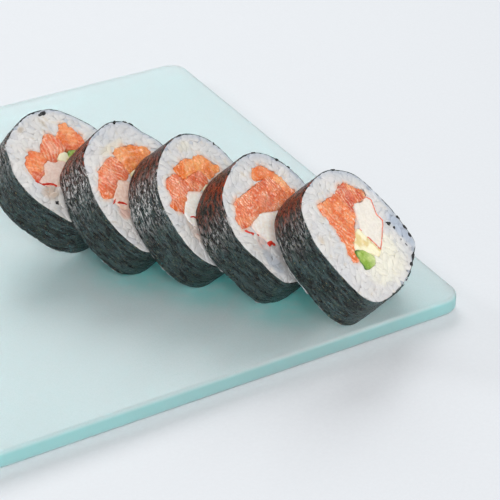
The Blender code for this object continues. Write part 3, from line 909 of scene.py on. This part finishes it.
def rice_tint(cut, x, y):
    n = smooth(-0.5, 0.5, fbm(x / 5, y / 5, 0.7, 3, 40 + cut.number))
    col = lerp(flat_colour(srgb(208, 208, 209), x), srgb(219, 216, 213), n)
    warm = smooth(0.30, 0.62, fbm(x / 1.6, y / 1.6, 0.4, 2, 60 + cut.number))
    col = lerp(col, srgb(208, 196, 176), 0.5 * warm)
    angle = np.arctan2(y, x)
    rim = cut.rice_rim(angle, 0.0) - np.hypot(x, y)
    # Bluish-grey painted shade near the rim on the open side.
    open_side = np.clip(swell(angle, 30.0, 62.0) * 1.3, 0, 1)
    col = lerp(col, srgb(184, 192, 204), 0.7 * smooth(2.6, 0.2, rim) * open_side)
    for px, py, rx, ry, colour, strength in RICE_TONES_AND_PAINTED_LIGHT[cut.number]:
        off = ((x - px) / rx) ** 2 + ((y - py) / ry) ** 2
        col = lerp(col, colour, strength * smooth(1.6, 0.3, off + 0.4 * fbm(x / 1.8, y / 1.8, 0.9, 2, 70 + cut.number)))
    return col


def rice(number, loops, kinds):
    cut = CUTS[number]
    pts_all, face_all, col_all = [], [], []
    base = 0
    for back in (0, 1):
        rng = np.random.default_rng(700 + 10 * number + back)
        shape, faces = grain_shape(12, 9) if back == 0 or number == 1 else grain_shape(10, 7)
        for layer, spacing in ((0, 1.95), (1, 2.9)):
            where = scatter(cut, loops, spacing, rng, back)
            for p in where:
                length = rng.normal(5.3, 0.45)
                width = rng.normal(2.35, 0.16)
                thick = width * rng.uniform(0.82, 0.95)
                tilt = math.asin(min(0.96, abs(rng.normal(0, 0.42))))
                turn = rng.uniform(0, 2 * math.pi)
                roll = rng.uniform(0, 2 * math.pi)
                g = shape * np.array([length, width, thick])
                bend = rng.uniform(-0.05, 0.05)
                g[:, 1] += bend * g[:, 0] ** 2
                c, s = math.cos(roll), math.sin(roll)
                g = g @ np.array([[1, 0, 0], [0, c, s], [0, -s, c]])
                c, s = math.cos(tilt), math.sin(tilt)
                g = g @ np.array([[c, 0, s], [0, 1, 0], [-s, 0, c]])
                c, s = math.cos(turn), math.sin(turn)
                g = g @ np.array([[c, s, 0], [-s, c, 0], [0, 0, 1]])
                depth = rng.uniform(0.05, 0.55) if layer == 0 else rng.uniform(0.5, 0.9)
                g[:, 2] -= depth
                top = rng.normal(0.0, 0.07) - (0.1 if layer else 0.0)
                over = g[:, 2] - top
                g[:, 2] = np.where(over > 0, top + over * 0.14, g[:, 2])
                g[:, 0] += p[0]
                g[:, 1] += p[1]
                pts_all.append(np.column_stack([g, np.full(len(g), back)]))
                face_all.extend([tuple(base + i for i in f) for f in faces])
                shade = rng.normal(1.0, 0.022)
                col_all.append(np.tile([shade, shade * rng.normal(1, 0.004), shade * rng.normal(1, 0.008)], (len(g), 1)))
                base += len(g)
    pts = np.vstack(pts_all)
    tone = np.vstack(col_all)
    back = pts[:, 3]
    xy = pts[:, :2].copy()
    glow = np.zeros(len(xy))
    for loop, kind in zip(loops, kinds):
        dist, near, inside = gap_to(xy, loop)
        if kind == "salmon":
            glow = np.maximum(glow, np.where(inside, 1.0, np.exp(-((dist / 0.9) ** 2))))
        push = inside & (dist < 4)
        xy[push] = near[push] + (near[push] - xy[push]) / np.maximum(dist[push], 1e-6)[:, None] * 0.02
    angle = np.arctan2(xy[:, 1], xy[:, 0])
    rim = cut.rice_rim(angle, back)
    away = np.hypot(*xy.T)
    over = np.maximum(away - (rim - 0.06), 0)
    scale = np.where(over > 0, (rim - 0.06 + 0.03 * np.minimum(over, 2)) / np.maximum(away, 1e-6), 1)
    xy *= scale[:, None]
    z = pts[:, 2]
    z = z + 0.12 * fbm(xy[:, 0] / 7, xy[:, 1] / 7, back * 3.0, 2, 90 + number)
    depth = cut.depth(xy[:, 0], xy[:, 1])
    z = np.where(back > 0.5, -depth - z - 0.1, z)
    full = np.column_stack([xy, z])
    full = cut.press(full, np.full(len(full), NORI + 0.1))
    colour = rice_tint(cut, xy[:, 0], xy[:, 1]) * tone
    # Pinkish painted glow on the rice round the salmon, for the light the fish scatters into it.
    painted_salmon_glow = 0.65 * glow * smooth(-0.4, 0.4, fbm(xy[:, 0] / 2, xy[:, 1] / 2, 0.6, 2, 50 + number))
    colour = lerp(colour, srgb(232, 172, 130), painted_salmon_glow)
    grains = make(f"rice_grains_{number}", full, face_all, cut, colour, material=RICE)
    own(grains, "rice", f"rice_{number}")
    core(number, cut)


CORE_DEPTH = 0.28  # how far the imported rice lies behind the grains' tops


def core(number, cut):
    """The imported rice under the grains: the CAD solid with its cut faces set back."""
    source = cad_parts[f"rice_{number}"].data
    pts = cut.local(Cut.world_points(f"rice_{number}"))
    faces = [tuple(p.vertices) for p in source.polygons]
    keys = {}
    same = []
    for p in np.round(pts / 0.002).astype(int):
        same.append(keys.setdefault(tuple(p), len(keys)))
    uniq = np.zeros((len(keys), 3))
    for i, s in enumerate(same):
        uniq[s] = pts[i]
    faces = [tuple(dict.fromkeys(same[i] for i in f)) for f in faces]
    faces = [f for f in faces if len(f) > 2]
    depth = cut.depth(uniq[:, 0], uniq[:, 1])
    z = uniq[:, 2]
    z = np.where(z > -CORE_DEPTH, -CORE_DEPTH, z)
    z = np.where(z < -depth + CORE_DEPTH, -depth + CORE_DEPTH, z)
    uniq[:, 2] = z
    colour = rice_tint(cut, uniq[:, 0], uniq[:, 1]) * 0.97
    obj = make(f"rice_core_{number}", uniq, faces, cut, colour, material=RICE, smooth_angle=40)
    own(obj, "rice")


# ---------------------------------------------------------------- seaweed
def seaweed(number):
    cut = CUTS[number]
    size = cut.size
    whole = size.tail + 360.0 + LAP_ANGLE
    reach = math.radians(whole) * (size.wide + size.high) / 4
    count = int(reach / 0.42)
    across = 38
    inner = 9
    run = np.linspace(0, whole, count + 1)
    run_mm = run / whole * reach
    half = 0.19
    seed = 300 + number

    def surface(side, t):
        """Points of one side at every run for the across fractions t (0 front, 1 back)."""
        R, T = np.meshgrid(run, t, indexing="ij")
        S = R / whole * reach
        drift = smooth(whole - 7, whole, R) * 0.9 * fbm(T * size.thick / 1.6, S * 0, 0.2, 3, seed + 7)
        R = R + drift
        angle = cut.angle(R)
        inset = cut.inset(R)
        zmm = T * size.thick
        bumps = (
            0.18 * fbm(S / 7.5, zmm / 5.0, 0.1, 2, seed)
            + 0.12 * fbm(S / 2.6, zmm / 1.7, 0.4, 2, seed + 1)
            + 0.07 * fbm(S / 6.0, zmm / 0.85, 0.8, 2, seed + 2)
        )
        deg = np.degrees(angle) % 360
        crinkle = np.exp(-(((deg - CRINKLE_AND_GLINT[number][0] + 180) % 360 - 180) / CRINKLE_AND_GLINT[number][1]) ** 2)
        ridged = 1 - 2 * np.abs(fbm(S / 3.6, zmm / 1.5, 1.3, 3, seed + 3))
        bumps = bumps + crinkle * 0.34 * ridged
        edge = np.minimum(T, 1 - T) * size.thick
        bumps = bumps * (0.35 + 0.65 * smooth(0, 1.2, edge))
        r = cut.radius(angle, T) - inset + side * half + bumps
        x, y = r * np.cos(angle), r * np.sin(angle)
        depth = cut.depth(x, y)
        top = front_edge(number, R, angle, S)
        bottom = -depth + 0.5 + 0.34 * fbm(S / 1.3, 0 * S, 5.5, 3, seed + 5) + 0.3 * fbm(S / 5.0, 0 * S, 6.5, 2, seed + 6)
        z = top * (1 - T) + bottom * T
        pts = np.stack([x, y, z], -1)
        return cut.press(pts, inset - side * half), S, zmm, deg, R

    t_out = np.linspace(0, 1, across)
    t_in = np.linspace(1, 0, inner)
    outer, S, Z, D, R = surface(1.0, t_out)
    back_side, S2, Z2, D2, R2 = surface(-1.0, t_in)
    ring = np.concatenate([outer, back_side], axis=1)
    n = ring.shape[1]
    pts = ring.reshape(-1, 3)
    sm = np.concatenate([S, S2], 1).ravel()
    zm = np.concatenate([Z, Z2], 1).ravel()
    dg = np.concatenate([D, D2], 1).ravel()
    faces = []
    for i in range(count):
        a, b = i * n, (i + 1) * n
        for j in range(n):
            k = (j + 1) % n
            faces.append((a + j, a + k, b + k, b + j))
    for start in (0, count * n):
        for j in range(inner - 1):
            lo, hi = j * (across - 1) / (inner - 1), (j + 1) * (across - 1) / (inner - 1)
            lo, hi = int(round(lo)), int(round(hi))
            inner_lo = n - 1 - j
            inner_hi = n - 2 - j
            loop = [start + q for q in range(lo, hi + 1)] + [start + inner_hi, start + inner_lo]
            faces.append(tuple(loop))
    warm = np.exp(-(((dg - REDDISH_TONE_AND_REFLECTION[number][0] + 180) % 360 - 180) / REDDISH_TONE_AND_REFLECTION[number][1]) ** 2) * REDDISH_TONE_AND_REFLECTION[number][2]
    # Where the seaweed gets its painted highlights.
    painted_glint = np.exp(-(((dg - CRINKLE_AND_GLINT[number][0] + 180) % 360 - 180) / CRINKLE_AND_GLINT[number][1]) ** 2) * CRINKLE_AND_GLINT[number][2]
    obj = make(
        f"nori_sheet_{number}", pts, faces, cut, None,
        {"band": np.column_stack([sm, zm, np.full(len(sm), 7.0 * number)]), "warm": warm, "painted_glint": painted_glint, "ink": 0 * painted_glint},
        SEAWEED, 60,
    )
    own(obj, "nori", f"nori_{number}")


# middle and spread of the reddish part (degrees round the face) and its strength; the reddish part is partly the
# seaweed's own brown and partly a painted reflection of the neighbouring slice's salmon
REDDISH_TONE_AND_REFLECTION = {1: (120, 20, 0.3), 2: (112, 24, 1.0), 3: (108, 24, 0.9), 4: (118, 30, 1.0), 5: (112, 24, 1.0)}
# the same for the crinkled part, whose strength sets the whitish painted highlights on it
CRINKLE_AND_GLINT = {1: (128, 24, 0.6), 2: (142, 24, 0.9), 3: (146, 22, 1.0), 4: (156, 14, 0.6), 5: (143, 12, 0.5)}
# the open side, where a film of starch covers the seaweed's cut edge: from and to
FILM = {1: (-50, 112), 2: (-50, 104), 3: (-50, 100), 4: (-50, 100), 5: (-92, 98)}


def front_edge(number, run, angle, s):
    """How far the seaweed's front edge stands out of the cut face (negative: sunk in it)."""
    size = SLICES[number]
    deg = np.degrees(angle) % 360
    out = 0.02 + 0.13 * fbm(s / 1.4, 0 * s, 2.2, 3, 500 + number)
    hidden = smooth(size.tail - 3, size.tail - 9, run)
    middle, half = sum(FILM[number]) / 2, (FILM[number][1] - FILM[number][0]) / 2
    off = np.abs((np.degrees(angle) - middle + 180) % 360 - 180)
    return out - 0.55 * hidden - 0.16 * smooth(half, half - 8, off)


def tube(middle, across, section, ends):
    """A small closed ribbon on the cut face: section points are (out along across, height)."""
    rows, n = len(middle), len(section[0])
    pts = np.zeros((rows, n, 3))
    for i in range(rows):
        for j, (out, high) in enumerate(section[i]):
            pts[i, j, :2] = middle[i] + across[i] * out * ends[i]
            pts[i, j, 2] = high
    faces = [
        (i * n + j, i * n + (j + 1) % n, (i + 1) * n + (j + 1) % n, (i + 1) * n + j)
        for i in range(rows - 1)
        for j in range(n)
    ]
    faces += [tuple(range(n)), tuple((rows - 1) * n + j for j in reversed(range(n)))]
    return pts.reshape(-1, 3), faces


def film(number):
    """Starch smeared over the seaweed's cut edge on the open side, thin and ragged."""
    cut = CUTS[number]
    start, end = FILM[number]
    deg = np.linspace(start, end, int((end - start) * 1.6))
    angle = np.radians(deg)
    s = angle * 23.0
    outer = cut.radius(angle, 0.0)
    middle = np.stack([np.cos(angle), np.sin(angle)], 1)
    edge = 0.26 + 0.34 * smooth(-0.3, 0.5, fbm(s / 1.2, 0 * s, 3.3, 3, 810 + number))
    inner = 1.5 + 0.5 * fbm(s / 2.0, 0 * s, 4.4, 2, 820 + number)
    high = 0.03 + 0.05 * fbm(s / 0.9, 0 * s, 5.1, 3, 830 + number)
    section = [
        [(-e, -0.30), (-e - 0.06, h - 0.06), (-0.55, h), (-1.0, h), (-w, -0.12), (-w + 0.2, -0.4), (-0.5, -0.42)]
        for e, w, h in zip(edge, inner, high)
    ]
    pts, faces = tube(middle * outer[:, None], middle, section, np.ones(len(deg)))
    tone = smooth(-0.4, 0.4, fbm(pts[:, 0] / 1.5, pts[:, 1] / 1.5, 0.3, 2, 840 + number))
    colour = lerp(flat_colour(srgb(166, 173, 184), pts[:, 0]), srgb(196, 200, 206), tone)
    pts = cut.press(pts, np.full(len(pts), 0.2))
    obj = make(f"rice_film_{number}", pts, faces, cut, colour, material=RICE, smooth_angle=70)
    own(obj, "rice")


# dark flakes of seaweed on the cut face: x, y, length, width, turn in degrees
FLAKES = {
    1: ((8.8, 20.7, 2.9, 1.0, -5), (-9.5, 21.4, 1.6, 0.4, 20), (-4.0, 23.0, 1.4, 0.4, 10), (5.5, 22.7, 1.2, 0.4, -10), (-16.0, -6.8, 1.3, 0.9, 10)),
    2: ((10.5, 21.7, 1.5, 0.7, 20), (14.5, 19.8, 1.5, 0.5, -50), (16.3, 18.0, 1.5, 0.7, -50)),
    3: ((18.5, 12.7, 1.1, 0.6, 20), (7.6, 22.2, 1.2, 0.3, -15)),
    4: ((6.0, 22.0, 1.8, 0.5, -10), (10.5, 21.0, 1.7, 0.5, -25), (17.5, 14.3, 1.5, 0.7, 0), (20.0, 9.7, 1.1, 0.6, -60)),
    5: (
        (11.5, 19.8, 2.1, 0.7, -35), (15.0, -6.0, 2.0, 1.0, 0), (16.0, -8.3, 1.0, 0.7, 20), (21.4, -7.0, 1.7, 1.0, -20),
        (20.8, -11.0, 1.9, 0.9, 90), (19.8, -13.8, 1.9, 1.0, 65), (14.7, -12.5, 1.3, 0.5, 0), (14.8, -15.0, 1.1, 0.4, 90),
        (18.0, -17.0, 1.3, 0.6, -30), (13.6, -19.2, 3.1, 0.8, 20), (10.0, -20.3, 1.7, 0.8, 10), (5.8, -22.0, 2.3, 0.5, 5),
        (3.0, -22.4, 1.3, 0.4, 0), (-4.7, -22.5, 2.7, 0.5, 0), (-1.0, -22.7, 1.5, 0.4, 0), (-1.0, 22.6, 2.4, 0.4, 2),
    ),
}


def flakes(number):
    cut = CUTS[number]
    rng = np.random.default_rng(60 + number)
    pts, faces = [], []
    count = 12
    a = np.linspace(0, 2 * math.pi, count, endpoint=False)
    for x, y, length, width, turn in FLAKES[number]:
        rough = 1 + rng.uniform(-0.3, 0.3, count)
        t = math.radians(turn)
        px, py = length * 0.58 * rough * np.cos(a), width * 0.72 * rough * np.sin(a)
        ring = np.stack([x + px * math.cos(t) - py * math.sin(t), y + px * math.sin(t) + py * math.cos(t)], 1)
        away = np.hypot(*ring.T)
        most = cut.radius(np.arctan2(ring[:, 1], ring[:, 0]), 0.0) + 0.05
        ring *= (np.minimum(away, most) / away)[:, None]
        base = sum(len(p) for p in pts)
        for high, shrink in ((-0.3, 1.0), (0.10, 1.0), (0.20, 0.7)):
            middle = ring.mean(0)
            pts.append(np.column_stack([middle + (ring - middle) * shrink, high + rng.uniform(-0.03, 0.03, count)]))
        for k in (0, 1):
            faces += [(base + k * count + i, base + k * count + (i + 1) % count, base + (k + 1) * count + (i + 1) % count, base + (k + 1) * count + i) for i in range(count)]
        faces += [tuple(base + i for i in reversed(range(count))), tuple(base + 2 * count + i for i in range(count))]
    pts = np.vstack(pts)
    pts = cut.press(pts, np.full(len(pts), 0.1))
    band = np.column_stack([pts[:, 0], pts[:, 1], np.zeros(len(pts))])
    zero = np.zeros(len(pts))
    obj = make(f"nori_flakes_{number}", pts, faces, cut, None, {"band": band, "warm": zero, "painted_glint": zero, "ink": zero + 1}, SEAWEED, 50)
    own(obj, "nori")


# the crab stick's thin red skin where it shows: width, red, and the points it runs through
RED, ROSE = srgb(206, 50, 28), srgb(236, 128, 108)
SKINS = {
    1: ((0.9, RED, ((-16.0, 3.6), (-15.2, 1.2), (-13.4, 0.4), (-11.6, -0.5), (-10.6, -2.4))), (0.5, ROSE, ((-9.6, 4.6), (-12.6, 3.6), (-15.4, 2.6)))),
    2: ((0.5, RED, ((-15.4, 0.0), (-13.4, 0.3), (-12.2, 1.0))), (0.8, RED, ((-12.6, -0.4), (-11.0, -1.2), (-9.6, -2.8)))),
    3: ((0.6, RED, ((-12.2, -0.8), (-10.8, -1.4), (-10.0, -2.6))), (0.6, RED, ((-14.6, -6.2), (-13.9, -7.6))), (0.5, RED, ((-13.6, 3.2), (-13.4, 1.2)))),
    4: ((1.1, RED, ((-16.2, 3.6), (-14.8, 1.8), (-13.7, 0.7), (-12.3, -0.7))), (1.3, RED, ((-11.6, -5.6), (-10.4, -4.6), (-9.4, -5.2), (-9.0, -6.6)))),
    5: (
        (0.34, ROSE, ((15.0, 5.9), (16.5, 3.7), (15.2, 1.6), (13.4, -0.8), (13.9, -3.9), (10.8, -5.4), (7.4, -7.2), (2.7, -9.4))),
        (0.40, ROSE, ((2.7, -9.4), (2.5, -6.6), (1.8, -3.2))), (0.4, ROSE, ((1.5, -0.6), (1.2, 0.8))),
    ),
}


def skins(number):
    cut = CUTS[number]
    all_pts, all_faces, all_cols = [], [], []
    base = 0
    for k, (width, colour, points) in enumerate(SKINS[number]):
        points = np.array(points, float)
        step = np.hypot(*np.diff(points, axis=0).T)
        s = np.concatenate([[0], np.cumsum(step)])
        want = np.linspace(0, s[-1], max(6, int(s[-1] / 0.28)))
        line = np.stack([np.interp(want, s, points[:, c]) for c in (0, 1)], 1)
        for _ in range(3):
            line[1:-1] = line[1:-1] * 0.5 + 0.25 * (line[:-2] + line[2:])
        ahead = np.gradient(line, axis=0)
        ahead /= np.hypot(*ahead.T)[:, None]
        across = np.stack([ahead[:, 1], -ahead[:, 0]], 1)
        seed = 900 + 10 * number + k
        line = line + across * (0.16 * fbm(want / 0.9, 0 * want, 0.5, 2, seed))[:, None]
        half = width / 2 * (1 + 0.6 * fbm(want / 0.8, 0 * want, 1.5, 2, seed + 3))
        ends = np.clip(np.minimum(want, s[-1] - want) / 0.5, 0.12, 1)
        section = [[(-h, -0.2), (-h * 0.8, 0.10), (0.0, 0.20), (h * 0.8, 0.10), (h, -0.2), (0.0, -0.3)] for h in half]
        pts, faces = tube(line, across, section, ends)
        tone = smooth(-0.4, 0.4, fbm(pts[:, 0] / 0.8, pts[:, 1] / 0.8, 0.3, 2, seed + 5))
        all_cols.append(lerp(flat_colour(colour * 0.8, pts[:, 0]), np.minimum(colour * 1.15, 1), tone))
        all_pts.append(pts)
        all_faces += [tuple(base + i for i in f) for f in faces]
        base += len(pts)
    obj = make(f"surimi_skin_{number}", np.vstack(all_pts), all_faces, cut, np.vstack(all_cols), material=STICK, smooth_angle=60)
    own(obj, "surimi")


for number in SLICES:
    nodes = [
        n for n in sorted(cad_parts)
        if n.split("_")[-1].rstrip("abc") == str(number) and not n.startswith(("rice", "nori"))
    ]
    loops = [filling(n, number) for n in nodes]
    rice(number, loops, [n.rsplit("_", 1)[0] for n in nodes])
    seaweed(number)
    film(number)
    flakes(number)
    skins(number)


# ---------------------------------------------------------------- plate
def plate():
    lo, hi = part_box("plate")
    size = hi - lo
    bm = bmesh.new()
    bmesh.ops.create_cube(bm, size=1.0)
    bmesh.ops.scale(bm, vec=size, verts=bm.verts)
    bmesh.ops.translate(bm, vec=(lo + hi) / 2, verts=bm.verts)
    upright = [e for e in bm.edges if abs(e.verts[0].co.z - e.verts[1].co.z) > 0.001]
    bmesh.ops.bevel(bm, geom=upright, offset=7.0 * MM, offset_type="OFFSET", segments=20, profile=0.5, affect="EDGES")
    rims = [e for e in bm.edges if abs(e.verts[0].co.z - e.verts[1].co.z) < 1e-6 and len(e.link_faces) == 2
            and any(abs(f.normal.z) > 0.9 for f in e.link_faces) and not all(abs(f.normal.z) > 0.9 for f in e.link_faces)]
    bmesh.ops.bevel(bm, geom=rims, offset=1.45 * MM, offset_type="OFFSET", segments=6, profile=0.5, affect="EDGES")
    mesh = bpy.data.meshes.new("glass_plate")
    bm.to_mesh(mesh)
    bm.free()
    at = np.array([v.co[:] for v in mesh.vertices]) / MM
    low, high = at[:, 2].min(), at[:, 2].max()
    rise = np.minimum(at[:, 2] - low, high - at[:, 2])
    wall = mesh.attributes.new("wall", "FLOAT", "POINT")
    wall.data.foreach_set("value", smooth(0.1, 1.4, rise).astype(np.float32))
    mesh.shade_smooth()
    mesh.set_sharp_from_angle(angle=math.radians(50))
    # The feet of slices 2 to 4, round which the glass gets its painted teal shade.
    feet = []
    for number in (2, 3, 4):
        skin = Cut.world_points(f"nori_{number}")
        foot = skin[skin[:, 2] < PLATE_TOP + 2.5].mean(0)
        feet.append((foot[0] * MM, foot[1] * MM, PLATE_TOP * MM))
    mesh.materials.append(glass_look(feet))
    obj = bpy.data.objects.new("glass_plate", mesh)
    bpy.context.scene.collection.objects.link(obj)
    own(obj, "frosted_glass", "plate")


plate()


# ---------------------------------------------------------------- table, light and camera
def table():
    mesh = bpy.data.meshes.new("table")
    r = 6.0
    mesh.from_pydata([(-r, -r, -0.0004), (r, -r, -0.0004), (r, r, -0.0004), (-r, r, -0.0004)], [], [(0, 1, 2, 3)])
    mesh.materials.append(table_look())
    obj = bpy.data.objects.new("table", mesh)
    bpy.context.scene.collection.objects.link(obj)


table()

world = bpy.data.worlds.new("studio")
bpy.context.scene.world = world
world.use_nodes = True
world.node_tree.nodes["Background"].inputs["Color"].default_value = (0.95, 0.975, 1.0, 1.0)
world.node_tree.nodes["Background"].inputs["Strength"].default_value = 0.30


def softbox(name, place, target, width, height, power, colour):
    light = bpy.data.lights.new(name, "AREA")
    light.shape = "RECTANGLE"
    light.size, light.size_y = width, height
    light.energy = power
    light.color = colour
    obj = bpy.data.objects.new(name, light)
    obj.location = place
    aim = Vector(target) - Vector(place)
    obj.rotation_euler = aim.to_track_quat("-Z", "Y").to_euler()
    bpy.context.scene.collection.objects.link(obj)


AIM = (0.03, -0.03, 0.02)
softbox("front", (-0.9, -2.2, 1.9), AIM, 1.5, 1.2, 57.0, (1.0, 0.99, 0.975))
softbox("back", (0.9, 2.4, 1.9), AIM, 2.2, 1.6, 55.0, (0.97, 0.99, 1.0))
softbox("side", (1.9, -1.6, 1.9), AIM, 1.5, 1.2, 29.0, (1.0, 0.985, 0.96))
softbox("rim", (-1.8, 2.2, 1.3), AIM, 0.7, 0.7, 20.0, (1.0, 1.0, 1.0))

camera = bpy.data.cameras.new("camera")
eye = bpy.data.objects.new("camera", camera)
bpy.context.scene.collection.objects.link(eye)
camera.sensor_width = 36.0
camera.lens = 1715.76 * 36 / 500
camera.clip_start = 0.01
right, up, back = (0.8637, -0.504, 0.0071), (0.2646, 0.4654, 0.8446), (-0.429, -0.7276, 0.5353)
pose = Matrix((right, up, back)).transposed().to_4x4()
pose.translation = Vector((-200.13, -469.07, 320.98)) * MM
eye.matrix_world = pose
bpy.context.scene.camera = eye
bpy.context.scene.view_settings.view_transform = "Standard"
